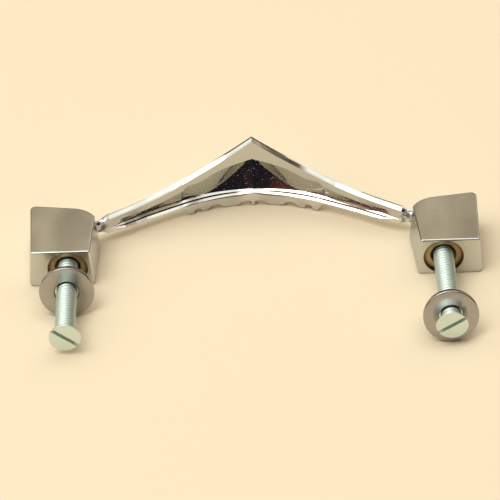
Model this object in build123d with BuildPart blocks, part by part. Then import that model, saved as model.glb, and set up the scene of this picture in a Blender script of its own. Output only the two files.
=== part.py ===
from build123d import *

# Bridge pull handle for a cabinet door or drawer, with its two fixing screws and their washers.
#
# One zinc casting holds two block feet, two short necks and a bowed bar. The bar is hollow at the
# back and rises to a pointed crest at its middle, over an apron with a scalloped lower edge. Each
# foot has a tapped, counterbored hole, with a slotted countersunk screw part of the way in. A
# loose washer hangs on each screw.
#
# Millimetres. X runs along the handle and +Z is up. +Y points to the front, away from the drawer
# that the feet are screwed to. The origin lies midway between the screw axes, on the plane of the
# feet's mounting faces.

import os
from itertools import accumulate
from math import asin, cos, radians, sin, tan

# Fixing: hole spacing, screws and washers
hole_spacing = 76.2
screw_diameter = 4.1
screw_length = 31.75
screw_exposed = 21.9
head_diameter = 6.4
head_cone_angle = 82.0
head_rim = 0.25
slot_width = 0.75
slot_depth = 0.9
slot_left_angle = -38.0
slot_right_angle = 33.0
tip_chamfer = 0.5
washer_outer = 11.1
washer_hole = 4.76
washer_thickness = 1.1
washer_edge = 0.15
washer_left_reach = 6.64
washer_left_tilt = 10.0
washer_right_reach = 18.16
washer_right_tilt = 13.0
seat_gap = 0.03

# Feet, with their inner and outer sides measured from the screw's axis
foot_height = 8.6
inner_side = 4.6
outer_side = 7.3
foot_depth = 16.1
foot_flare = 0.6
foot_draft = 0.7
front_fall = 1.3
front_run = 9.0
inner_depth = 11.8
inner_lead = 0.9
corner_radius = 1.15
foot_edge = 0.35
foot_lower_edge = 1.0
bore_diameter = 8.2
bore_depth = 0.7
thread_clearance = 0.05
thread_overrun = 2.15
thread_lead = 0.6

# Bar: its bow in plan, an arc between straight arms, and its section from the ends to the crest
neck_length = 3.1
swell_overrun = 1.0
bar_front = 25.2
bow_radius = 33.0
bow_half = 14.5
arm_bottom = 2.2
arm_height = 3.7
crest_height = 10.9
rim_rise = 0.4
crest_power = 2.8
crest_share = 0.75
wall = 1.25
arm_ridge = 1.3
crest_ridge = 2.9
top_bevel_width = 0.8
top_bevel_drop = 0.45
section_edge = 0.22

# Hollow in the bar's back, which stops short of the bar's end, with a gusset in its middle
hollow_depth = 1.25
crest_hollow_depth = 2.7
land_undercut = 0.75
land_step = 0.05
hollow_stop = 4.2
hollow_close = 0.2
hollow_slope = 0.3
shut_length = 5.2
shut_stop = 3.7
gusset_reach = 9.5
gusset_height = 5.8
gusset_power = 1.5
valley_rise = 0.2
land_height = 1.35
crest_land_height = 1.1

# Rim below the hollow: two bevels with a riser between them, running out at its ends
rim_height = 1.1
rim_run = 1.15
rim_drop = 0.9
riser_offset = 0.1
rim_fade = 9.0
rim_middle = 0.6
rim_proud = 0.4
rim_stop = 1.0
rim_closing = 3.2
rim_end = 0.08

# Sections along the bow, and relative lengths of the stretches of arm from there to the rim's end
bow_stations = (0.0, 1.3, 2.8, 4.5, 6.5, 9.0, 11.5, bow_half)
arm_stretches = (25, 25, 25, 24, 23, 15, 12)

# Necks: places measured from the bar's end, and how far the bar's outline is grown there
neck_steps = ((-1.0, -0.3), (0.0, -0.06), (0.8, -0.5), (1.7, -0.6), (5.2, 0.35))

# Apron under the crest: arches with lobes between them, about a pointed tooth
apron_thickness = 1.4
apron_proud = 0.12
apron_lap = 0.3
apron_end = 14.5
arch_height = 1.3
lobe_level = 0.35
lobe_drop = 0.3
arches = ((0.0, 2.9), (6.4, 9.3), (10.9, 12.3))
lobes = ((2.9, 6.4), (9.3, 10.9), (12.3, 13.5))
tooth_half = 0.725
point_height = 0.7
point_rise = 0.175
point_reach = 4.6

half_spacing = hole_spacing / 2
half_height = foot_height / 2
screw_radius = screw_diameter / 2
thread_depth = screw_length - screw_exposed + thread_overrun
foot_inner = half_spacing - inner_side
foot_outer = half_spacing + outer_side
bar_end = foot_inner - neck_length
bar_reach = bar_end + swell_overrun
hollow_reach = bar_end - hollow_stop
shut_start = bar_end - shut_stop - shut_length
rim_reach = bar_end - rim_stop
bow_centre = bar_front - bow_radius
bow_turn = asin(bow_half / bow_radius)
arm_stations = [
    bow_half + (rim_reach - bow_half) * along / sum(arm_stretches)
    for along in accumulate(arm_stretches, initial=0)
]
arm_stations.append(bar_end)


def swell(x):
    """1 at the middle of the bar and 0 at its ends: a pointed crest on arms that rise evenly."""
    inward = max(0.0, 1 - x / bar_reach)
    return crest_share * inward**crest_power + (1 - crest_share) * inward


def bow_plane(x):
    """Plane across the bar at x on its back, with its own x running out to the front."""
    lean = asin(min(x, bow_half) / bow_radius)
    arm = max(0.0, x - bow_half)
    return Plane(
        origin=(x, bow_centre + bow_radius * cos(lean) - arm * tan(bow_turn), 0),
        x_dir=(sin(lean), cos(lean), 0),
        z_dir=(cos(lean), -sin(lean), 0),
    )


def bar_levels(x):
    """Heights of the bar's lower edge, rim and upper edge at x."""
    bottom = arm_bottom - half_height + rim_rise * swell(x)
    top = arm_bottom - half_height + arm_height + crest_height * swell(x)
    return bottom, bottom + rim_height, top


def ridge_depth(x):
    """How far the bar's ridge lies in front of its wall."""
    return arm_ridge + crest_ridge * swell(x)


def gusset(x):
    """1 at the middle of the gusset, which lifts and deepens the hollow's valley, and 0 at its ends."""
    return max(0.0, 1 - x / gusset_reach) ** gusset_power


def bar_section(x):
    """Section of the bar: bevelled top, front ridge, and the hollow in its back over the rim."""
    bottom, rim, top = bar_levels(x)
    share = min(1.0, rim_end + (1 - rim_end) * max(0.0, rim_reach - x) / rim_closing)
    spread = min(1.0, x / rim_fade)
    run = rim_run * share * (rim_middle + (1 - rim_middle) * spread)
    drop = rim_drop * share * (rim_middle + (1 - rim_middle) * spread)
    rise = riser_offset * share * (rim_end + (1 - rim_end) * spread)
    valley = rim + valley_rise * share + gusset_height * gusset(x)
    depth = (hollow_depth + crest_hollow_depth * gusset(x)) * share
    closed = rim + (hollow_close + valley_rise) * share + hollow_slope * max(0.0, hollow_reach - x)
    land = min(closed, top - top_bevel_drop - land_height - crest_land_height * swell(x))
    shut = min(1.0, max(0.0, x - shut_start) / shut_length)
    proud = rim_proud * shut * share
    lip = (run - proud) * shut
    under = lip + (land_undercut * (1 - shut) + land_step) * share
    with BuildSketch(bow_plane(x)) as section:
        with BuildLine():
            Polyline(
                (-proud, bottom),
                (-proud, rim - drop),
                (run / 3 + rise - proud, rim - drop * 2 / 3),
                (run * 2 / 3 - rise - proud, rim - drop / 3),
                (run - proud, rim),
                (depth - proud, valley),
                (under, land),
                (lip, land),
                (0, top - top_bevel_drop),
                (top_bevel_width, top),
                (wall, top),
                (wall + ridge_depth(x), valley),
                (wall, bottom),
                close=True,
            )
        make_face()
        fillet(section.vertices().sort_by(Axis.X)[-1], section_edge)
    return section.sketch


def neck_section(x, grow):
    """Section of a neck: the bar's outline at x, grown all round."""
    bottom, rim, top = bar_levels(x)
    with BuildSketch(bow_plane(x)) as section:
        with BuildLine():
            Polyline(
                (-grow / 2, bottom - grow),
                (-grow / 2, top - top_bevel_drop + grow),
                (top_bevel_width, top + grow),
                (wall, top + grow),
                (wall + ridge_depth(x) + grow, rim),
                (wall, bottom - grow),
                close=True,
            )
        make_face()
        fillet(section.vertices(), section_edge)
    return section.sketch


def foot_section(level, grow):
    """Section of the right foot across Z, with its sides moved out by grow."""
    inner = foot_inner - grow
    outer = foot_outer + grow
    front_outer = outer + foot_flare
    front_inner = (inner - inner_lead, inner_depth)
    turn = (front_outer - front_run, foot_depth - front_fall)
    with BuildSketch(Plane.XY.offset(level)) as section:
        with BuildLine():
            Polyline(
                front_inner,
                (inner, -foot_edge),
                (outer, -foot_edge),
                (front_outer, foot_depth),
                turn,
            )
            TangentArc(turn, front_inner, tangent=(-front_run, -front_fall))
        make_face()
    return section.sketch


def washer_plane(side, reach, tilt):
    """Plane of a washer's back face, leaning back as the washer hangs from its screw."""
    lean = radians(tilt)
    middle = screw_radius + seat_gap - washer_hole / 2 * cos(lean)
    middle += washer_thickness / 2 * sin(lean)
    return Plane(
        origin=(side * half_spacing, -reach, middle),
        x_dir=(1, 0, 0),
        z_dir=(0, -cos(lean), sin(lean)),
    )


with BuildPart() as arm:
    for x in bow_stations:
        add(bar_section(x))
    loft()
    for x in arm_stations:
        add(bar_section(x))
    loft(ruled=True)

with BuildPart() as neck:
    for step, grow in neck_steps:
        add(neck_section(bar_end + step, grow))
    loft()

with BuildPart() as apron:
    # Right half of the scalloped outline, extruded through and kept within the bow
    low = -half_height
    level = low + lobe_level
    lap = arm_bottom - half_height + apron_lap
    with BuildSketch(Plane.XZ):
        with BuildLine():
            for start, end in arches:
                ThreePointArc((start, level), ((start + end) / 2, low + arch_height), (end, level))
            for start, end in lobes:
                ThreePointArc((start, level), ((start + end) / 2, level - lobe_drop), (end, level))
            Polyline((lobes[-1][1], level), (apron_end, lap), (point_reach, lap))
            turn = (point_reach / 2, lap + point_rise)
            ThreePointArc((point_reach, lap), turn, (0, lap + point_height))
            Line((0, lap + point_height), (0, level))
        make_face()
        with BuildLine():
            Polyline((0, low), (tooth_half, level + lobe_drop), (0, level + lobe_drop), close=True)
        make_face()
    extrude(amount=-2 * bar_front)
    with BuildSketch(Plane.XY.offset(low)):
        with Locations((0, bow_centre)):
            Circle(bow_radius - apron_proud + apron_thickness)
            Circle(bow_radius - apron_proud, mode=Mode.SUBTRACT)
    extrude(amount=foot_height, mode=Mode.INTERSECT)

with BuildPart() as handle:
    # Right foot: a tapered block, wider at the bottom by the draft, cut flat at its mounting face
    add(foot_section(-half_height, foot_draft))
    add(foot_section(half_height, 0.0))
    loft(ruled=True)
    split(bisect_by=Plane.XZ, keep=Keep.BOTTOM)
    uprights = handle.edges().filter_by(lambda edge: abs((edge @ 1 - edge @ 0).Z) > half_height)
    fillet(uprights.filter_by(lambda edge: edge.center().Y > foot_edge), corner_radius)
    lower_edges = handle.edges().group_by(Axis.Z)[0]
    fillet(lower_edges.filter_by(lambda edge: edge.center().Y > foot_edge), foot_lower_edge)
    upper_edges = handle.edges().group_by(Axis.Z)[-1]
    fillet(upper_edges.filter_by(lambda edge: edge.center().Y > foot_edge), foot_edge)
    fillet(handle.faces().sort_by(Axis.Y)[0].edges(), foot_edge)
    # Right half of the bar with its neck, then everything again on the left
    for piece in (neck, arm, apron):
        add(piece.part)
    mirror(about=Plane.YZ)
    # Counterbored, tapped holes in the mounting faces
    for side in (-1, 1):
        with Locations(Plane((side * half_spacing, 0, 0), z_dir=(0, -1, 0))):
            CounterBoreHole(
                radius=screw_radius + thread_clearance,
                counter_bore_radius=bore_diameter / 2,
                counter_bore_depth=bore_depth,
                depth=thread_depth,
            )
    # Lead-in cones at the mouths of the threads
    mouths = handle.edges().filter_by(GeomType.CIRCLE).filter_by(
        lambda edge: abs(edge.radius - screw_radius - thread_clearance) < thread_clearance / 2
        and edge.center().Y < thread_depth / 2
    )
    chamfer(mouths, thread_lead)

with BuildPart() as screw:
    # A slotted countersunk screw, with its head's face on z = 0 and its tip down
    cone = (head_diameter - screw_diameter) / 2 / tan(radians(head_cone_angle / 2))
    with BuildSketch(Plane.XZ):
        with BuildLine():
            Polyline(
                (0, 0),
                (head_diameter / 2, 0),
                (head_diameter / 2, -head_rim),
                (screw_radius, -head_rim - cone),
                (screw_radius, -screw_length + tip_chamfer),
                (screw_radius - tip_chamfer, -screw_length),
                (0, -screw_length),
                close=True,
            )
        make_face()
    revolve(axis=Axis.Z)
    Box(
        2 * head_diameter,
        slot_width,
        slot_depth,
        align=(Align.CENTER, Align.CENTER, Align.MAX),
        mode=Mode.SUBTRACT,
    )

with BuildPart() as washer:
    Cylinder(washer_outer / 2, washer_thickness, align=(Align.CENTER, Align.CENTER, Align.MIN))
    Hole(washer_hole / 2)
    chamfer(washer.edges().filter_by(GeomType.CIRCLE), washer_edge)

head_left = Plane((-half_spacing, -screw_exposed, 0), x_dir=(1, 0, 0), z_dir=(0, -1, 0))
head_right = Plane((half_spacing, -screw_exposed, 0), x_dir=(1, 0, 0), z_dir=(0, -1, 0))
with BuildPart() as screw_left:
    add(head_left * Rot(Z=slot_left_angle) * screw.part)
with BuildPart() as screw_right:
    add(head_right * Rot(Z=slot_right_angle) * screw.part)
with BuildPart() as washer_left:
    add(washer_plane(-1, washer_left_reach, washer_left_tilt) * washer.part)
with BuildPart() as washer_right:
    add(washer_plane(1, washer_right_reach, washer_right_tilt) * washer.part)

handle.part.label = "handle_casting"
screw_left.part.label = "screw_left"
screw_right.part.label = "screw_right"
washer_left.part.label = "washer_left"
washer_right.part.label = "washer_right"

os.makedirs("parts", exist_ok=True)
export_step(handle.part, "parts/handle_casting.step")
export_step(screw_left.part, "parts/screw_left.step")
export_step(screw_right.part, "parts/screw_right.step")
export_step(washer_left.part, "parts/washer_left.step")
export_step(washer_right.part, "parts/washer_right.step")
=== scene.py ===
from math import asin, cos, pi, radians, sin, tan

import bmesh
import bpy
from mathutils import Matrix, Vector


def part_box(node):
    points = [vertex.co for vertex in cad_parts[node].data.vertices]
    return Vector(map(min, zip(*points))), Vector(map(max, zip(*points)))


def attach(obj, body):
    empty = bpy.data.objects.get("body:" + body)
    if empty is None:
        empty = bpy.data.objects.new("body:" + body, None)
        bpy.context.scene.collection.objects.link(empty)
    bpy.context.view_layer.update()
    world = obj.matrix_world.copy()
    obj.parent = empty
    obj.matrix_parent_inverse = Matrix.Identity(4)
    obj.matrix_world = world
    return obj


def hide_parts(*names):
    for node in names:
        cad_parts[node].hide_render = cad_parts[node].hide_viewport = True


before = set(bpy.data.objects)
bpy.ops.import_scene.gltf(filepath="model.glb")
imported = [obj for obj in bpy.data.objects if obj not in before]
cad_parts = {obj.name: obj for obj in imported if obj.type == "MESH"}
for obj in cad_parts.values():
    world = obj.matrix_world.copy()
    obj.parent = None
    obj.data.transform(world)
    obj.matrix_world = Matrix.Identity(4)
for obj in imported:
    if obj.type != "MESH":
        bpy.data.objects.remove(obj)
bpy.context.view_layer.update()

bl_info = {
    "name": "Bridge Pull Handle",
    "version": (1, 0, 0),
    "blender": (4, 5, 0),
    "location": "3D Viewport > Sidebar > Bridge Pull",
    "description": "Finishes a chromed bridge pull with its screws and washers, and stages it",
    "category": "Object",
}

# Sizes are in metres. As in the solid model, X runs along the handle, +Y points to its front, away
# from the drawer, and +Z is up. The origin lies between the screws, where the feet are mounted.
MM = 0.001


def box_middle(name):
    """Middle of the box round one of the solid model's nodes."""
    low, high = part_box(name)
    return (Vector(low) + Vector(high)) / 2


# Places that the solid model gives: the feet's undersides, and the screws' axes, faces and tips
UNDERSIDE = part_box("handle_casting")[0][2]
SCREW_SPACING = box_middle("screw_right").x - box_middle("screw_left").x
SCREW_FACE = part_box("screw_right")[0][1]
SCREW_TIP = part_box("screw_right")[1][1]

# The bar: its end, the bow of its back in plan, which is an arc between straight arms, and the rise
# of its upper edge from the ends to the crest
FOOT_SIDE = 4.6 * MM
NECK_LENGTH = 3.1 * MM
BAR_END = SCREW_SPACING / 2 - FOOT_SIDE - NECK_LENGTH
BAR_REACH = BAR_END + 1.0 * MM
BOW_RADIUS = 33.0 * MM
BOW_HALF = 14.5 * MM
BOW_CENTRE = 25.2 * MM - BOW_RADIUS
BOW_TURN = asin(BOW_HALF / BOW_RADIUS)
CREST_RISE = 8.2 * MM
CREST_POWER = 2.8
ARM_RISE = 2.7 * MM
# Level of the hollow's floor, in the middle of the bar and from the end of the arc outwards
FLOOR_LEVELS = (-0.5 * MM, -0.85 * MM)

# Limits of the masks over the casting: each runs from where a mask is 0 to where it is 1
BORE_WALL = (4.2 * MM, 4.05 * MM)
# Where the painted shade by the counterbores' walls begins and where it is full
BORE_RIM = (3.1 * MM, 3.9 * MM)
BORE_MOUTH = (0.1 * MM, 0.4 * MM)
BORE_END = (14.0 * MM, 13.0 * MM)
HOLLOW_DEPTH = (0.15 * MM, 0.35 * MM)
HOLLOW_FLOOR = (0.0, 0.2 * MM)
HOLLOW_TOP = (0.9 * MM, 0.6 * MM)
HOLLOW_END = (BAR_END - 3.4 * MM, BAR_END - 5.4 * MM)
LAND_DEPTH = (0.35 * MM, 0.15 * MM)
LAND_END = (BAR_END + 1.1 * MM, BAR_END + 0.1 * MM)
NECK_START = (BAR_END - 0.5 * MM, BAR_END + 0.6 * MM)
NECK_END = (BAR_END + 2.2 * MM, BAR_END + 1.7 * MM)
NECK_BACK = (11.3 * MM, 12.0 * MM)
MOUNT_FACE = (0.30 * MM, 0.12 * MM)
RIGHT_FOOT = (BAR_END + 0.6 * MM, BAR_END + 1.2 * MM)
FACING_BACK = (-0.15, -0.3)
FACING_LEFT = (-0.4, -0.7)

# Scales of the noises in the plate, and the grey values between which each is put to use
WAVE_SCALE = 180.0
CHROME_WAVE_SCALE = 60.0
HAZE_SCALE = 170.0
CLOUD_SCALE = 900.0
DUST_SCALE = 2100.0
HAZE_GREYS = (0.35, 0.65)
CLOUD_GREYS = (0.3, 0.7)
CREASE_GREYS = (0.43, 0.57)
FLECK_GREYS = (0.64, 0.70)
DUST_GREYS = (0.60, 0.74)
# Limits of ambient occlusion, and of the painted shade in corners and thread roots
OPEN_TO_CORNER = (0.75, 0.2)
OPEN_TO_SHADED = (0.05, 0.6)
# Share of the clouds that the creases in the necks add to the plate's waves
CREASE_HEIGHT = 0.14

# Roughness from smooth to rough, and what the casting's duller places add to it
CHROME_ROUGHNESS = (0.07, 0.13)
DUST_ROUGHNESS = (0.03, 0.35)
BORE_ROUGHNESS = 0.25
MOUNT_ROUGHNESS = 0.12
NECK_ROUGHNESS = 0.08
SIDE_ROUGHNESS = 0.06
ZINC_ROUGHNESS = (0.34, 0.44)
THREAD_ROUGHNESS = (0.52, 0.60)
WASHER_ROUGHNESS = (0.20, 0.28)

# The finishes' lesser colours, among them painted shade and painted highlight
# Painted shade in the casting's corners, from ambient occlusion
CORNER_SHADE = (0.24, 0.19, 0.13, 1)
LAND_PLATE = (0.54, 0.545, 0.53, 1)
MOUNT_PLATE = (0.585, 0.60, 0.575, 1)
# Painted shade on the right foot's inner side
SIDE_SHADE = (0.34, 0.355, 0.345, 1)
# Painted shade and painted highlight that mottle the necks
CREASE_SHADOW = (0.17, 0.15, 0.18, 1)
CREASE_SHINE = (0.58, 0.64, 0.66, 1)
FLECK = (0.66, 0.72, 0.82, 1)
# Painted shade by the counterbores' walls
BORE_RIM_SHADE = (0.13, 0.085, 0.05, 1)
# Painted shade in the corners of the screw heads and in the roots of the thread
ZINC_SHADE = (0.60, 0.70, 0.65, 1)
THREAD_ROOT_SHADE = (0.18, 0.20, 0.17, 1)
WASHER_SHADOW = (0.39, 0.37, 0.36, 1)

# The room that the plate reflects. Its parts meet where a direction's parts, from -1 to 1, reach
# the given limits: a warm wall ahead, dark low down, a dark side behind the camera, brown on its
# left past a slanting edge and in a patch beside it, and all pale overhead, lower on the left.
ROOM_OVERHEAD = (1.38, 1.36, 1.26, 1)
ROOM_WARM = (0.72, 0.62, 0.44, 1)
ROOM_FOLDS = (0.37, 0.30, 0.205, 1)
ROOM_LOW_WALL = (0.07, 0.05, 0.033, 1)
ROOM_DARK = (0.022, 0.020, 0.030, 1)
ROOM_BROWN = (0.24, 0.08, 0.062, 1)
FOLD_SCALE = 9.0
FOLD_GREYS = (0.35, 0.65)
LOW_WALL = (0.47, 0.36)
BEHIND = (0.15, -0.25)
OVERHEAD = (0.69, 0.79)
OVERHEAD_TILT = -0.45
BROWN_SLANT = 1.5
BROWN_EDGE = (-0.74, -0.82)
PATCH_HEADING = (-0.20, -0.87, 0.46)
PATCH_SPREAD = (0.19, 0.10)

# Turned parts: half the countersink's angle, the thread's height as a share of its pitch, and how
# many steps make a turn
COUNTERSINK = radians(41.0)
THREAD_HEIGHT = 0.55
THREAD_STEPS = 40
HEAD_STEPS = 72
WASHER_STEPS = 96


# ---------------------------------------------------------------- helpers


def feed(tree, value, socket):
    """Links an output to an input, or sets the input to a plain value."""
    if isinstance(value, bpy.types.NodeSocket):
        tree.links.new(value, socket)
    else:
        socket.default_value = value


def new_material(name):
    """A material, its node tree and its Principled shader."""
    material = bpy.data.materials.new(name)
    material.use_nodes = True
    return material, material.node_tree, material.node_tree.nodes["Principled BSDF"]


def new_group(name, inputs, outputs):
    """A shader node group with the given sockets, and its input and output nodes."""
    group = bpy.data.node_groups.new(name, "ShaderNodeTree")
    for label, kind, default in inputs:
        socket = group.interface.new_socket(label, in_out="INPUT", socket_type=kind)
        socket.default_value = default
    for label, kind in outputs:
        group.interface.new_socket(label, in_out="OUTPUT", socket_type=kind)
    return group, group.nodes.new("NodeGroupInput"), group.nodes.new("NodeGroupOutput")


def use_group(tree, group):
    """Puts a node group into a material's tree."""
    node = tree.nodes.new("ShaderNodeGroup")
    node.node_tree = group
    return node


def coordinate(tree, output):
    """A texture coordinate and its parts along X, Y and Z."""
    place = tree.nodes.new("ShaderNodeTexCoord")
    split = tree.nodes.new("ShaderNodeSeparateXYZ")
    tree.links.new(place.outputs[output], split.inputs[0])
    return place.outputs[output], split.outputs


def math_node(tree, operation, *values):
    """A Math node's result; its inputs are numbers or sockets."""
    node = tree.nodes.new("ShaderNodeMath")
    node.operation = operation
    for value, socket in zip(values, node.inputs):
        feed(tree, value, socket)
    return node.outputs[0]


def product(tree, first, *others):
    """Masks or numbers multiplied together."""
    for other in others:
        first = math_node(tree, "MULTIPLY", first, other)
    return first


def mix_colour(tree, factor, first, second):
    """Goes from the first colour to the second as the factor goes from 0 to 1."""
    node = tree.nodes.new("ShaderNodeMix")
    node.data_type = "RGBA"
    for index, value in ((0, factor), (6, first), (7, second)):
        feed(tree, value, node.inputs[index])
    return node.outputs[2]


def fade(tree, value, limits, levels=(0.0, 1.0)):
    """Goes from one level to the other as the value goes between its limits, and no further."""
    node = tree.nodes.new("ShaderNodeMapRange")
    for number, socket in zip((value, *limits, *levels), node.inputs):
        feed(tree, number, socket)
    return node.outputs[0]


def noise(tree, place, scale, detail):
    """Grey values of a noise at the given places."""
    node = tree.nodes.new("ShaderNodeTexNoise")
    feed(tree, place, node.inputs["Vector"])
    feed(tree, scale, node.inputs["Scale"])
    feed(tree, detail, node.inputs["Detail"])
    return node.outputs["Fac"]


def add_bump(tree, shader, height, distance, strength):
    """Bumps the shader's surface by a height."""
    bump = tree.nodes.new("ShaderNodeBump")
    bump.inputs["Distance"].default_value = distance
    bump.inputs["Strength"].default_value = strength
    tree.links.new(height, bump.inputs["Height"])
    tree.links.new(bump.outputs["Normal"], shader.inputs["Normal"])


def mesh_object(name, vertices, faces, smooth=True):
    """A mesh object from vertices in metres and faces that list them."""
    mesh = bpy.data.meshes.new(name)
    mesh.from_pydata(vertices, [], faces)
    mesh.validate()
    work = bmesh.new()
    work.from_mesh(mesh)
    bmesh.ops.recalc_face_normals(work, faces=work.faces)
    work.to_mesh(mesh)
    work.free()
    for face in mesh.polygons:
        face.use_smooth = smooth
    piece = bpy.data.objects.new(name, mesh)
    bpy.context.scene.collection.objects.link(piece)
    return piece


def apply_modifiers(piece):
    """Applies the object's modifiers to its mesh."""
    view = bpy.context.evaluated_depsgraph_get()
    mesh = bpy.data.meshes.new_from_object(piece.evaluated_get(view))
    piece.modifiers.clear()
    piece.data = mesh


def lathe(profile, steps, ring=False):
    """Vertices and faces of a body turned about Z. Its profile, as (radius, height), runs from
    axis to axis, or closes on itself as the section of a ring."""
    vertices = []
    rows = []
    for radius, height in profile:
        count = steps if radius else 1
        first = len(vertices)
        for step in range(count):
            turn = 2 * pi * step / steps
            vertices.append((radius * cos(turn), radius * sin(turn), height))
        rows.append([first + step % count for step in range(steps)])
    faces = []
    for lower, upper in zip(rows, rows[1:] + rows[:1] if ring else rows[1:]):
        for step in range(steps):
            after = (step + 1) % steps
            corners = (lower[step], lower[after], upper[after], upper[step])
            faces.append(list(dict.fromkeys(corners)))
    return vertices, faces


# ---------------------------------------------------------------- settings


class FastenerSettings(bpy.types.PropertyGroup):
    """Sizes of the screws and washers."""

    spacing: bpy.props.FloatProperty(
        name="Spacing",
        description="Distance between the screw axes",
        default=SCREW_SPACING,
        unit="LENGTH",
    )
    exposed: bpy.props.FloatProperty(
        name="Exposed",
        description="Screw length in front of the feet",
        default=-SCREW_FACE,
        unit="LENGTH",
    )
    length: bpy.props.FloatProperty(
        name="Length",
        description="Overall length of a screw",
        default=SCREW_TIP - SCREW_FACE,
        unit="LENGTH",
    )
    shank: bpy.props.FloatProperty(
        name="Shank",
        description="Outside diameter of the thread",
        default=4.1 * MM,
        unit="LENGTH",
    )
    pitch: bpy.props.FloatProperty(
        name="Pitch",
        description="Distance between thread crests, 32 to the inch",
        default=25.4 / 32 * MM,
        unit="LENGTH",
    )
    head: bpy.props.FloatProperty(
        name="Head",
        description="Diameter of the head",
        default=6.4 * MM,
        unit="LENGTH",
    )
    rim: bpy.props.FloatProperty(
        name="Rim",
        description="Height of the head's straight rim",
        default=0.25 * MM,
        unit="LENGTH",
    )
    slot_width: bpy.props.FloatProperty(
        name="Slot width",
        description="Width of the driving slot",
        default=0.75 * MM,
        unit="LENGTH",
    )
    slot_depth: bpy.props.FloatProperty(
        name="Slot depth",
        description="Depth of the driving slot",
        default=0.9 * MM,
        unit="LENGTH",
    )
    left_slot: bpy.props.FloatProperty(
        name="Left slot",
        description="Turn of the left screw's slot",
        default=radians(-38.0),
        unit="ROTATION",
    )
    right_slot: bpy.props.FloatProperty(
        name="Right slot",
        description="Turn of the right screw's slot",
        default=radians(33.0),
        unit="ROTATION",
    )
    washer_outer: bpy.props.FloatProperty(
        name="Washer",
        description="Outside diameter of a washer",
        default=11.1 * MM,
        unit="LENGTH",
    )
    washer_hole: bpy.props.FloatProperty(
        name="Washer hole",
        description="Diameter of a washer's hole",
        default=4.76 * MM,
        unit="LENGTH",
    )
    washer_thickness: bpy.props.FloatProperty(
        name="Thickness",
        description="Thickness of a washer",
        default=1.1 * MM,
        unit="LENGTH",
    )
    left_lean: bpy.props.FloatProperty(
        name="Left lean",
        description="How far the left washer leans back as it hangs",
        default=radians(10.0),
        unit="ROTATION",
    )
    right_lean: bpy.props.FloatProperty(
        name="Right lean",
        description="How far the right washer leans back as it hangs",
        default=radians(13.0),
        unit="ROTATION",
    )


class FinishSettings(bpy.types.PropertyGroup):
    """Colours of the plated parts."""

    chrome: bpy.props.FloatVectorProperty(
        name="Chrome",
        description="Bright chrome plate",
        default=(0.76, 0.76, 0.735, 1),
        size=4,
        subtype="COLOR",
    )
    haze: bpy.props.FloatVectorProperty(
        name="Chrome haze",
        description="Chrome plate where it is hazy",
        default=(0.60, 0.60, 0.575, 1),
        size=4,
        subtype="COLOR",
    )
    # The hollow's darker colour is painted shade; its flecks are dust
    hollow: bpy.props.FloatVectorProperty(
        name="Hollow",
        description="Thin plate in the hollow of the bar",
        default=(0.41, 0.405, 0.365, 1),
        size=4,
        subtype="COLOR",
    )
    brass: bpy.props.FloatVectorProperty(
        name="Bores",
        description="Brown metal in the bores, where the plating didn't reach",
        default=(0.46, 0.34, 0.18, 1),
        size=4,
        subtype="COLOR",
    )
    zinc: bpy.props.FloatVectorProperty(
        name="Zinc",
        description="Zinc plate on the screw heads",
        default=(0.70, 0.82, 0.79, 1),
        size=4,
        subtype="COLOR",
    )
    thread: bpy.props.FloatVectorProperty(
        name="Thread",
        description="Zinc plate on the thread's crests",
        default=(0.61, 0.71, 0.66, 1),
        size=4,
        subtype="COLOR",
    )
    washer: bpy.props.FloatVectorProperty(
        name="Washer",
        description="Steel of the washers",
        default=(0.45, 0.43, 0.42, 1),
        size=4,
        subtype="COLOR",
    )


class StageSettings(bpy.types.PropertyGroup):
    """Floor and camera."""

    floor_colour: bpy.props.FloatVectorProperty(
        name="Floor colour",
        description="Colour of the floor",
        default=(0.815, 0.71, 0.525, 1),
        size=4,
        subtype="COLOR",
    )
    floor_level: bpy.props.FloatProperty(
        name="Floor",
        description="Height of the floor",
        default=UNDERSIDE,
        unit="LENGTH",
    )
    dent: bpy.props.FloatProperty(
        name="Dent",
        description="How far the washers press into the floor",
        default=1.5 * MM,
        unit="LENGTH",
    )
    target: bpy.props.FloatVectorProperty(
        name="Target",
        description="The place that the camera looks at",
        default=(-1.096 * MM, 0.0, 3.333 * MM),
        subtype="TRANSLATION",
        unit="LENGTH",
    )
    distance: bpy.props.FloatProperty(
        name="Distance",
        description="Camera distance",
        default=566.04 * MM,
        unit="LENGTH",
    )
    elevation: bpy.props.FloatProperty(
        name="Elevation",
        description="Camera height angle",
        default=radians(38.0),
        unit="ROTATION",
    )
    azimuth: bpy.props.FloatProperty(
        name="Azimuth",
        description="Camera heading",
        default=radians(0.36),
        unit="ROTATION",
    )
    roll: bpy.props.FloatProperty(
        name="Roll",
        description="Camera roll",
        default=-0.02866,
        unit="ROTATION",
    )
    lens: bpy.props.FloatProperty(
        name="Lens",
        description="Focal length in millimetres",
        default=201.9,
        min=1.0,
        unit="CAMERA",
    )


# ---------------------------------------------------------------- shared effects


def uneven_group():
    """Unevenness of a plated surface: slow waves as a height, small clouds and wide haze."""
    name = "uneven_plate"
    if name in bpy.data.node_groups:
        return bpy.data.node_groups[name]
    group, entry, leave = new_group(
        name,
        [("Scale", "NodeSocketFloat", WAVE_SCALE)],
        [("Height", "NodeSocketFloat"), ("Cloud", "NodeSocketFloat"), ("Haze", "NodeSocketFloat")],
    )
    place = coordinate(group, "Object")[0]
    # Waves and haze are drawn out from back to front, as polishing leaves them
    stretch = group.nodes.new("ShaderNodeVectorMath")
    stretch.operation = "MULTIPLY"
    stretch.inputs[1].default_value = (1.0, 0.4, 1.0)
    group.links.new(place, stretch.inputs[0])
    drawn = stretch.outputs[0]
    waves = noise(group, drawn, entry.outputs["Scale"], detail=0.0)
    group.links.new(waves, leave.inputs["Height"])
    group.links.new(noise(group, place, CLOUD_SCALE, detail=4.0), leave.inputs["Cloud"])
    group.links.new(noise(group, drawn, HAZE_SCALE, detail=1.0), leave.inputs["Haze"])
    return group


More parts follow.
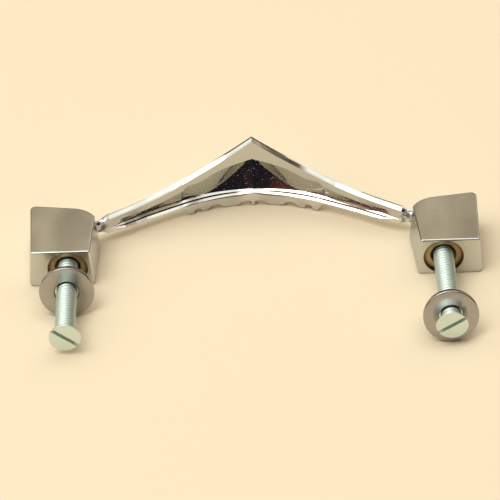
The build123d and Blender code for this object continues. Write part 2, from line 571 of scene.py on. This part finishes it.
def corner_shade_group():
    """How much painted shade a place gets, from 0 in the open to 1 deep in a corner."""
    name = "grime"
    if name in bpy.data.node_groups:
        return bpy.data.node_groups[name]
    group, entry, leave = new_group(
        name,
        [("Reach", "NodeSocketFloat", 1.5 * MM)],
        [("Amount", "NodeSocketFloat")],
    )
    # Ambient occlusion says where shade is painted into corners
    shade = group.nodes.new("ShaderNodeAmbientOcclusion")
    shade.samples = 8
    group.links.new(entry.outputs["Reach"], shade.inputs["Distance"])
    amount = fade(group, shade.outputs["AO"], OPEN_TO_CORNER)
    group.links.new(amount, leave.inputs["Amount"])
    return group


# ---------------------------------------------------------------- masks over the casting


def bore_masks(tree, place, spacing):
    """Masks of the counterbores with the holes behind them, and of the painted shade by their
    walls.
    """
    across, depth, height = place
    away = math_node(tree, "SUBTRACT", math_node(tree, "ABSOLUTE", across), spacing / 2)
    squares = math_node(tree, "ADD", product(tree, away, away), product(tree, height, height))
    away = math_node(tree, "SQRT", squares)
    bores = product(tree, fade(tree, away, BORE_WALL), fade(tree, depth, BORE_MOUTH))
    bores = product(tree, bores, fade(tree, depth, BORE_END))
    return bores, fade(tree, away, BORE_RIM)


def bow_depth(tree, across, out):
    """How far a place lies in front of the bar's bowed back."""
    out = math_node(tree, "SUBTRACT", out, BOW_CENTRE)
    squares = math_node(tree, "ADD", product(tree, across, across), product(tree, out, out))
    on_arc = math_node(tree, "SUBTRACT", math_node(tree, "SQRT", squares), BOW_RADIUS)
    sideways = product(tree, across, sin(BOW_TURN))
    straight = math_node(tree, "ADD", sideways, product(tree, out, cos(BOW_TURN)))
    on_arm = math_node(tree, "SUBTRACT", straight, BOW_RADIUS)
    more = math_node(tree, "SUBTRACT", on_arm, on_arc)
    past_arc = math_node(tree, "GREATER_THAN", across, BOW_HALF)
    return math_node(tree, "ADD", on_arc, product(tree, more, past_arc))


def below_crest(tree, across, height):
    """1 in the hollow and 0 on the bar's upper edge above it, which rises to the crest."""
    inward = math_node(tree, "SUBTRACT", 1.0, math_node(tree, "DIVIDE", across, BAR_REACH))
    crest = product(tree, math_node(tree, "POWER", inward, CREST_POWER), CREST_RISE)
    edge = math_node(tree, "ADD", crest, product(tree, inward, ARM_RISE))
    return fade(tree, math_node(tree, "SUBTRACT", height, edge), HOLLOW_TOP)


def bar_masks(tree, place, facing):
    """Masks of the bar's hollow, of the land above it and of the necks."""
    across = math_node(tree, "ABSOLUTE", place[0])
    depth = bow_depth(tree, across, place[1])
    floor = fade(tree, across, (0.0, BOW_HALF), FLOOR_LEVELS)
    above = fade(tree, math_node(tree, "SUBTRACT", place[2], floor), HOLLOW_FLOOR)
    backward = product(tree, above, fade(tree, facing[1], FACING_BACK))
    hollow = product(tree, fade(tree, depth, HOLLOW_DEPTH), backward)
    below = below_crest(tree, across, place[2])
    hollow = product(tree, hollow, fade(tree, across, HOLLOW_END), below)
    shallow = fade(tree, depth, LAND_DEPTH)
    land = product(tree, shallow, backward, fade(tree, across, LAND_END))
    neck = product(tree, fade(tree, across, NECK_START), fade(tree, across, NECK_END))
    neck = product(tree, neck, fade(tree, place[1], NECK_BACK))
    return hollow, land, neck


def foot_masks(tree, place, facing):
    """Masks of the feet's mounting faces and of the right foot's inner side, which gets painted
    shade.
    """
    mount = product(tree, fade(tree, place[1], MOUNT_FACE), fade(tree, facing[1], FACING_BACK))
    side = product(tree, fade(tree, facing[0], FACING_LEFT), fade(tree, place[0], RIGHT_FOOT))
    return mount, side


# ---------------------------------------------------------------- materials


def chrome_material(finish, spacing):
    """Bright chrome plate over a casting, with painted shade in its corners, on the right foot's
    inner side and in the hollow, whose dust flecks are real, and brown in the bores with painted
    shade by their walls.
    """
    material, tree, shader = new_material("chrome_plate")
    uneven = use_group(tree, uneven_group())
    uneven.inputs["Scale"].default_value = CHROME_WAVE_SCALE
    grime = use_group(tree, corner_shade_group())
    spot, place = coordinate(tree, "Object")
    facing = coordinate(tree, "Normal")[1]
    hollow, land, neck = bar_masks(tree, place, facing)
    mount, side = foot_masks(tree, place, facing)
    bores, rim_shade = bore_masks(tree, place, spacing)
    cloud = uneven.outputs["Cloud"]
    dust = noise(tree, spot, DUST_SCALE, detail=2.0)

    hazy = fade(tree, uneven.outputs["Haze"], HAZE_GREYS)
    neck_shade_and_highlight = mix_colour(tree, fade(tree, cloud, CREASE_GREYS), CREASE_SHADOW, CREASE_SHINE)
    hollow_shade_and_dust = mix_colour(tree, fade(tree, dust, FLECK_GREYS), finish.hollow, FLECK)
    # The bores' brown metal, darker by their walls with painted shade
    brown = mix_colour(tree, rim_shade, finish.brass, BORE_RIM_SHADE)
    colour = mix_colour(tree, hazy, finish.haze, finish.chrome)
    for mask, layer in (
        # painted shade in the corners
        (grime.outputs["Amount"], CORNER_SHADE),
        (land, LAND_PLATE),
        # painted shade and painted highlight mottling the necks
        (neck, neck_shade_and_highlight),
        # painted shade on the right foot's inner side
        (side, SIDE_SHADE),
        (mount, MOUNT_PLATE),
        # painted shade in the hollow, flecked with dust
        (hollow, hollow_shade_and_dust),
        (bores, brown),
    ):
        colour = mix_colour(tree, mask, colour, layer)
    tree.links.new(colour, shader.inputs["Base Color"])
    shader.inputs["Metallic"].default_value = 1.0

    rough = fade(tree, cloud, CLOUD_GREYS, CHROME_ROUGHNESS)
    for mask, more in (
        (bores, BORE_ROUGHNESS),
        (hollow, fade(tree, dust, DUST_GREYS, DUST_ROUGHNESS)),
        (neck, NECK_ROUGHNESS),
        (mount, MOUNT_ROUGHNESS),
        (side, SIDE_ROUGHNESS),
    ):
        rough = math_node(tree, "ADD", rough, product(tree, mask, more))
    tree.links.new(rough, shader.inputs["Roughness"])

    creased = product(tree, cloud, neck, CREASE_HEIGHT)
    height = math_node(tree, "ADD", uneven.outputs["Height"], creased)
    add_bump(tree, shader, height, distance=2.6 * MM, strength=0.4)
    return material


def zinc_material(name, open_colour, shaded_colour, roughness):
    """Clear zinc plate on steel, slightly green, with painted shade in its corners and in the
    thread's roots.
    """
    material, tree, shader = new_material(name)
    uneven = use_group(tree, uneven_group())
    grime = use_group(tree, corner_shade_group())
    grime.inputs["Reach"].default_value = 0.9 * MM
    # Darker towards corners and the thread's roots: painted shade
    shading = fade(tree, grime.outputs["Amount"], OPEN_TO_SHADED)
    tree.links.new(mix_colour(tree, shading, open_colour, shaded_colour), shader.inputs["Base Color"])
    shader.inputs["Metallic"].default_value = 1.0
    rough = fade(tree, uneven.outputs["Cloud"], CLOUD_GREYS, roughness)
    tree.links.new(rough, shader.inputs["Roughness"])
    return material


def washer_material(finish):
    """Dull plated washer steel with faint flow marks."""
    material, tree, shader = new_material("washer_steel")
    uneven = use_group(tree, uneven_group())
    cloud = uneven.outputs["Cloud"]
    colour = mix_colour(tree, cloud, WASHER_SHADOW, finish.washer)
    tree.links.new(colour, shader.inputs["Base Color"])
    shader.inputs["Metallic"].default_value = 1.0
    rough = fade(tree, cloud, CLOUD_GREYS, WASHER_ROUGHNESS)
    tree.links.new(rough, shader.inputs["Roughness"])
    add_bump(tree, shader, uneven.outputs["Height"], distance=0.03 * MM, strength=0.15)
    return material


def floor_material(colour):
    """Plain pale matt floor."""
    material, _, shader = new_material("pale_floor")
    shader.inputs["Base Color"].default_value = colour
    shader.inputs["Roughness"].default_value = 0.95
    shader.inputs["Specular IOR Level"].default_value = 0.1
    return material


# ---------------------------------------------------------------- operators


class PULL_OT_finish_casting(bpy.types.Operator):
    """Gives the casting its chrome plate"""

    bl_idname = "pull.finish_casting"
    bl_label = "Finish Casting"

    def execute(self, context):
        scene = context.scene
        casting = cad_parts["handle_casting"]
        plate = chrome_material(scene.pull_finish, scene.pull_fasteners.spacing)
        casting.data.materials.clear()
        casting.data.materials.append(plate)
        return {"FINISHED"}


class PULL_OT_add_screws(bpy.types.Operator):
    """Adds the two slotted countersunk screws with their threads"""

    bl_idname = "pull.add_screws"
    bl_label = "Add Screws"

    def execute(self, context):
        settings = context.scene.pull_fasteners
        finish = context.scene.pull_finish
        plate = zinc_material("zinc_plate", finish.zinc, ZINC_SHADE, ZINC_ROUGHNESS)
        ribbed = zinc_material("zinc_thread", finish.thread, THREAD_ROOT_SHADE, THREAD_ROUGHNESS)
        for label, side, slot_turn, start in (
            ("left", -1, settings.left_slot, 0.2),
            ("right", 1, settings.right_slot, 0.65),
        ):
            thread = self.thread(settings, label, start)
            head = self.head(settings, label, slot_turn)
            place = Matrix.Translation((side * settings.spacing / 2, -settings.exposed, 0))
            place = place @ Matrix.Rotation(radians(90), 4, "X")
            for piece, metal in ((thread, ribbed), (head, plate)):
                piece.data.transform(place)
                piece.data.materials.clear()
                piece.data.materials.append(metal)
                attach(piece, "root")
            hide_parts("screw_" + label)
        return {"FINISHED"}

    def profile(self, settings):
        """Points (radius, offset) of one turn of thread, from root to root: a narrow flat, a
        flank, a crest and a flank, each as a share of the pitch."""
        pitch = settings.pitch
        crest = settings.shank / 2
        root = crest - THREAD_HEIGHT * pitch
        return (
            (root, 0.0),
            (root, 0.06 * pitch),
            (crest, 0.36 * pitch),
            (crest, 0.66 * pitch),
            (root, 0.96 * pitch),
        )

    def thread(self, settings, label, start):
        """A helical thread, its crests cut back at the tip by a chamfer. It runs up into the
        head's cone, and start, in turns, is where it begins at the tip."""
        chamfer = 0.5 * MM
        up_cone = 0.7
        profile = self.profile(settings)
        cone = (settings.head - settings.shank) / 2 / tan(COUNTERSINK)
        top = -settings.rim - cone * up_cone
        # The first turn lies below the tip, up to one more by the start, and the last past the top
        turns = int((settings.length + top) / settings.pitch) + 3
        last = turns * THREAD_STEPS
        vertices = []
        faces = []
        count = len(profile)
        for index in range(last + 1):
            turn = 2 * pi * index / THREAD_STEPS
            base = -settings.length + (index / THREAD_STEPS - 1 - start) * settings.pitch
            for radius, offset in profile:
                z = min(max(base + offset, -settings.length), top)
                limit = settings.shank / 2 - chamfer + (z + settings.length)
                r = min(radius, limit)
                vertices.append((r * cos(turn), r * sin(turn), z))
        for index in range(last):
            first = index * count
            for a in range(first, first + count - 1):
                faces.append((a, a + count, a + count + 1, a + 1))
            above = (index + THREAD_STEPS) * count
            if index + THREAD_STEPS < last:
                a = first + count - 1
                faces.append((a, a + count, above + count, above))
        centre = len(vertices)
        vertices.append((0.0, 0.0, -settings.length))
        for step in range(THREAD_STEPS):
            faces.append((step * count, centre, (step + 1) * count))
        return mesh_object("screw_thread_" + label, vertices, faces)

    def head(self, settings, label, slot_turn):
        """A countersunk head with a driving slot. A short core joins it to the thread."""
        edge = 0.08 * MM
        core_length = 0.4 * MM
        core_share = 0.8
        outer = settings.head / 2
        core = settings.shank / 2 * core_share
        under = -settings.rim - (outer - core) / tan(COUNTERSINK)
        profile = (
            (0.0, under - core_length),
            (core, under - core_length),
            (core, under),
            (outer - edge / 3, -settings.rim - edge / 2),
            (outer, -settings.rim + edge / 3),
            (outer, -edge),
            (outer - edge * 0.3, -edge * 0.3),
            (outer - edge, 0.0),
            (0.0, 0.0),
        )
        vertices, faces = lathe(profile, HEAD_STEPS)
        head = mesh_object("screw_head_" + label, vertices, faces, smooth=False)
        bpy.ops.mesh.primitive_cube_add(size=2)
        cutter = bpy.context.view_layer.objects.active
        cutter.scale = (settings.head, settings.slot_width / 2, settings.slot_depth)
        cutter.rotation_euler = (0, 0, slot_turn)
        cut = head.modifiers.new("slot", "BOOLEAN")
        cut.operation = "DIFFERENCE"
        cut.object = cutter
        cut.solver = "EXACT"
        bevel = head.modifiers.new("edges", "BEVEL")
        bevel.width = 0.04 * MM
        bevel.segments = 2
        bevel.limit_method = "ANGLE"
        bevel.angle_limit = radians(50)
        apply_modifiers(head)
        bpy.data.objects.remove(cutter)
        if min(vertex.co.length for vertex in head.data.vertices) < settings.slot_width / 4:
            raise RuntimeError("the slot wasn't cut in screw_head_" + label)
        return head


class PULL_OT_add_washers(bpy.types.Operator):
    """Adds the two flat washers that hang from the screws"""

    bl_idname = "pull.add_washers"
    bl_label = "Add Washers"

    def execute(self, context):
        settings = context.scene.pull_fasteners
        steel = washer_material(context.scene.pull_finish)
        for label, side, lean in (
            ("left", -1, settings.left_lean),
            ("right", 1, settings.right_lean),
        ):
            washer = self.washer(settings, label)
            # Its box says how far along and how high it hangs; across, it hangs on the screw's axis
            middle = box_middle("washer_" + label)
            middle.x = side * settings.spacing / 2
            place = Matrix.Translation(middle) @ Matrix.Rotation(radians(90) - lean, 4, "X")
            washer.data.transform(place)
            washer.data.materials.append(steel)
            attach(washer, "root")
            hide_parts("washer_" + label)
        return {"FINISHED"}

    def washer(self, settings, label):
        """A stamped washer with rounded edges, with its middle at the origin."""
        soft = 0.22 * MM
        arc_steps = 5
        outer = settings.washer_outer / 2 - soft
        hole = settings.washer_hole / 2 + soft
        half = settings.washer_thickness / 2 - soft
        profile = []
        for radius, height, first in (
            (outer, -half, -90),
            (outer, half, 0),
            (hole, half, 90),
            (hole, -half, 180),
        ):
            for step in range(arc_steps + 1):
                turn = radians(first + 90 * step / arc_steps)
                profile.append((radius + soft * cos(turn), height + soft * sin(turn)))
        vertices, faces = lathe(profile, WASHER_STEPS, ring=True)
        return mesh_object("flat_washer_" + label, vertices, faces)


class PULL_OT_set_stage(bpy.types.Operator):
    """Adds the floor, the lights, the surroundings and the camera"""

    bl_idname = "pull.set_stage"
    bl_label = "Set Stage"

    def execute(self, context):
        settings = context.scene.pull_stage
        self.floor(context, settings)
        self.surroundings(context)
        self.lamps(context)
        self.camera(context, settings)
        context.scene.view_settings.view_transform = "Standard"
        return {"FINISHED"}

    def dip(self, x, y, dents):
        """How far the floor gives way at a place, as a share of a dent's depth."""
        half_width = 6.5 * MM
        half_length = 5.0 * MM
        total = 0.0
        for dent_x, dent_y in dents:
            away = ((x - dent_x) / half_width) ** 2 + ((y - dent_y) / half_length) ** 2
            total += max(0.0, 1 - away / 2) ** 2
        return total

    def floor(self, context, settings):
        """A pale floor, pressed in a little under each washer, and a plain one around it."""
        half_spacing = context.scene.pull_fasteners.spacing / 2
        left_reach = 6.6 * MM
        right_reach = 18.0 * MM
        dents = ((-half_spacing, -left_reach), (half_spacing, -right_reach))
        near = 90 * MM
        far = 3.0
        steps = 240
        level = settings.floor_level
        vertices = []
        for row in range(steps + 1):
            y = near * (2 * row / steps - 1)
            for column in range(steps + 1):
                x = near * (2 * column / steps - 1)
                vertices.append((x, y, level - settings.dent * self.dip(x, y, dents)))
        faces = []
        for row in range(steps):
            for a in range(row * (steps + 1), row * (steps + 1) + steps):
                faces.append((a, a + 1, a + steps + 2, a + steps + 1))
        floor = mesh_object("floor", vertices, faces)
        corners = ((-1, -1), (1, -1), (1, 1), (-1, 1))
        points = [(x * reach, y * reach, level) for reach in (near, far) for x, y in corners]
        sides = [(i, (i + 1) % 4, (i + 1) % 4 + 4, i + 4) for i in range(4)]
        around = mesh_object("floor_around", points, sides, smooth=False)
        matt = floor_material(settings.floor_colour)
        for piece in (floor, around):
            piece.data.materials.append(matt)

    def surroundings(self, context):
        """The plain room that the plate reflects."""
        world = bpy.data.worlds.new("room")
        context.scene.world = world
        world.use_nodes = True
        tree = world.node_tree
        back = tree.nodes["Background"]
        heading, (across, ahead, height) = coordinate(tree, "Generated")
        folds = fade(tree, noise(tree, heading, FOLD_SCALE, detail=1.0), FOLD_GREYS)
        warm = mix_colour(tree, folds, ROOM_FOLDS, ROOM_WARM)
        warm = mix_colour(tree, fade(tree, height, LOW_WALL), warm, ROOM_LOW_WALL)
        slant = math_node(tree, "SUBTRACT", across, product(tree, height, BROWN_SLANT))
        apart = tree.nodes.new("ShaderNodeVectorMath")
        apart.operation = "DISTANCE"
        tree.links.new(heading, apart.inputs[0])
        apart.inputs[1].default_value = PATCH_HEADING
        patch = fade(tree, apart.outputs["Value"], PATCH_SPREAD)
        brown = math_node(tree, "MAXIMUM", patch, fade(tree, slant, BROWN_EDGE))
        dark = mix_colour(tree, brown, ROOM_DARK, ROOM_BROWN)
        wall = mix_colour(tree, fade(tree, ahead, BEHIND), warm, dark)
        tilted = math_node(tree, "ADD", height, product(tree, across, OVERHEAD_TILT))
        sky = mix_colour(tree, fade(tree, tilted, OVERHEAD), wall, ROOM_OVERHEAD)
        tree.links.new(sky, back.inputs["Color"])
        back.inputs["Strength"].default_value = 1.0

    def lamps(self, context):
        """Two soft lamps overhead: a key on the left and a fainter fill on the right."""
        for name, place, size, power in (
            ("key", (-0.35, -0.15, 0.9), 0.6, 3.6),
            ("fill", (0.5, 0.5, 0.8), 0.8, 1.6),
        ):
            lamp = bpy.data.lights.new(name, "AREA")
            lamp.shape = "SQUARE"
            lamp.size = size
            lamp.energy = power
            lamp.color = (1.0, 0.97, 0.92)
            item = bpy.data.objects.new(name, lamp)
            item.location = place
            item.rotation_euler = (-Vector(place)).to_track_quat("-Z", "Y").to_euler()
            context.scene.collection.objects.link(item)

    def camera(self, context, settings):
        """The camera, from its target, heading, height, roll and distance."""
        heading, lift = settings.azimuth, settings.elevation
        ahead = Vector((sin(heading) * cos(lift), cos(heading) * cos(lift), -sin(lift)))
        right = Vector((cos(heading), -sin(heading), 0))
        up = right.cross(ahead)
        side = cos(settings.roll) * right + sin(settings.roll) * up
        top = -sin(settings.roll) * right + cos(settings.roll) * up
        lens = bpy.data.cameras.new("camera")
        lens.lens = settings.lens
        lens.sensor_width = 36.0
        lens.clip_start = 0.01
        lens.clip_end = 20.0
        camera = bpy.data.objects.new("camera", lens)
        turned = Matrix((side, top, -ahead)).transposed().to_4x4()
        place = Vector(settings.target) - ahead * settings.distance
        camera.matrix_world = Matrix.Translation(place) @ turned
        context.scene.collection.objects.link(camera)
        context.scene.camera = camera


class PULL_PT_panel(bpy.types.Panel):
    """Builds and stages the pull"""

    bl_label = "Bridge Pull"
    bl_idname = "PULL_PT_panel"
    bl_space_type = "VIEW_3D"
    bl_region_type = "UI"
    bl_category = "Bridge Pull"

    def draw(self, context):
        scene = context.scene
        for settings in (scene.pull_fasteners, scene.pull_finish, scene.pull_stage):
            box = self.layout.box()
            for name in settings.__annotations__:
                box.prop(settings, name)
        for step in (
            "pull.finish_casting",
            "pull.add_screws",
            "pull.add_washers",
            "pull.set_stage",
        ):
            self.layout.operator(step)


CLASSES = (
    FastenerSettings,
    FinishSettings,
    StageSettings,
    PULL_OT_finish_casting,
    PULL_OT_add_screws,
    PULL_OT_add_washers,
    PULL_OT_set_stage,
    PULL_PT_panel,
)


def register():
    """Registers the classes and their settings."""
    for item in CLASSES:
        bpy.utils.register_class(item)
    bpy.types.Scene.pull_fasteners = bpy.props.PointerProperty(type=FastenerSettings)
    bpy.types.Scene.pull_finish = bpy.props.PointerProperty(type=FinishSettings)
    bpy.types.Scene.pull_stage = bpy.props.PointerProperty(type=StageSettings)


def unregister():
    """Removes the settings and the classes."""
    del bpy.types.Scene.pull_stage
    del bpy.types.Scene.pull_finish
    del bpy.types.Scene.pull_fasteners
    for item in reversed(CLASSES):
        bpy.utils.unregister_class(item)


def main():
    """Builds the whole scene."""
    register()
    bpy.ops.pull.finish_casting()
    bpy.ops.pull.add_screws()
    bpy.ops.pull.add_washers()
    bpy.ops.pull.set_stage()


if __name__ == "__main__":
    main()
